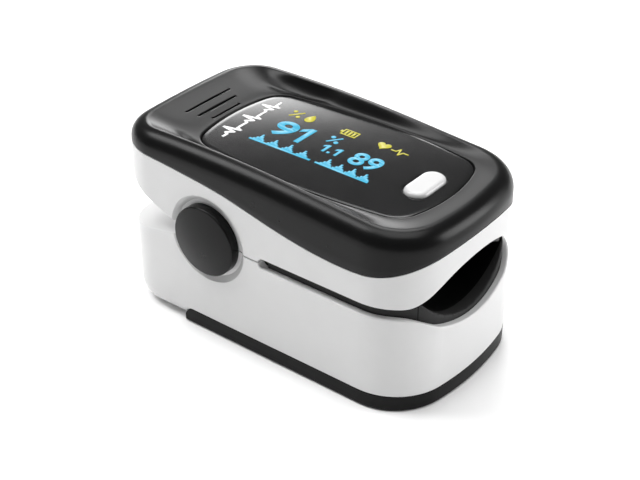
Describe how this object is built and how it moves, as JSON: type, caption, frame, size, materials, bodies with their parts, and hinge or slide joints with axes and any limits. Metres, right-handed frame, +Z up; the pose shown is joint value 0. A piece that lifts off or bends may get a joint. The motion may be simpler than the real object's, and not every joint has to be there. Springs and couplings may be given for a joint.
{
  "type": "fingertip pulse oximeter",
  "caption": "Clip-on fingertip pulse oximeter with sprung jaws, soft finger pads, a domed display window, a push button and a sliding battery cover.",
  "frame": {"origin": "centre of the flat base, directly under the middle of the body's length and width", "axes": "+X along the length, out of the finger opening; +Z up, out of the display; +Y across the width, along the hinge axis"},
  "size_m": [0.0612, 0.037, 0.0336],
  "materials": {
    "white_shell": "satin white moulded plastic",
    "black_cover": "soft gloss black moulded plastic",
    "dark_window": "polished smoked acrylic",
    "white_button": "gloss white",
    "charcoal_cover": "fine satin charcoal",
    "black_cap": "satin black",
    "grey_rubber": "soft matt silicone rubber",
    "tray_plastic": "plain moulded",
    "inner_black_plastic": "plain moulded",
    "steel": "plain steel",
    "nickel_plate": "nickel plated spring steel",
    "cell_can": "plain blue wrapped can",
    "board_green": "solder mask",
    "chip_black": "moulded epoxy",
    "flex_amber": "polyimide film",
    "gold_pin": "gold plated",
    "clear_lens": "clear moulded lens",
    "display_glass": "polished display face"
  },
  "bodies": {
    "lower_jaw": {"lower_shell": "white_shell", "battery_tray": "tray_plastic", "tray_screws": "steel", "battery_cell_near": "cell_can", "battery_cell_far": "cell_can", "rear_contact_link": "nickel_plate", "positive_contact_plate": "nickel_plate", "negative_contact_plate": "nickel_plate", "rear_contact_spring": "nickel_plate", "front_contact_spring": "nickel_plate", "lower_finger_pad": "grey_rubber", "detector_board": "board_green", "photodiode": "chip_black", "detector_window": "clear_lens", "hinge_pin_near": "steel", "hinge_pin_far": "steel", "hinge_cap_near": "black_cap", "hinge_cap_far": "black_cap", "torsion_spring_near": "steel", "torsion_spring_far": "steel", "flex_cable": "flex_amber"},
    "upper_jaw": {"upper_shell": "white_shell", "upper_finger_pad": "grey_rubber", "emitter_board": "board_green", "emitter_led": "clear_lens", "emitter_window": "clear_lens", "emitter_pins": "gold_pin", "main_circuit_board": "board_green", "controller_chip": "chip_black", "tactile_switch": "nickel_plate", "display_bracket": "inner_black_plastic", "display_panel": "display_glass", "top_cover": "black_cover", "cover_screws": "steel", "display_window": "dark_window"},
    "button": {"power_button": "white_button", "switch_plunger": "inner_black_plastic"},
    "battery_door": {"battery_cover": "charcoal_cover"}
  },
  "joints": [
    {"name": "jaw_hinge", "type": "hinge", "parent": "lower_jaw", "child": "upper_jaw", "pos_m": [-0.01, 0, 0.0184], "axis": [0, -1, 0], "range_deg": [0, 14], "stiffness_Nm_per_rad": 0.06, "springref_deg": -20.05, "deforming": ["torsion_spring_near", "torsion_spring_far", "flex_cable"]},
    {"name": "button_press", "type": "slide", "parent": "upper_jaw", "child": "button", "axis": [0, 0, -1], "range_m": [0, 0.0004], "stiffness_N_per_m": 2500, "springref_m": -0.0002},
    {"name": "battery_cover_slide", "type": "slide", "parent": "lower_jaw", "child": "battery_door", "axis": [1, 0, 0], "range_m": [0, 0.042]}
  ]
}
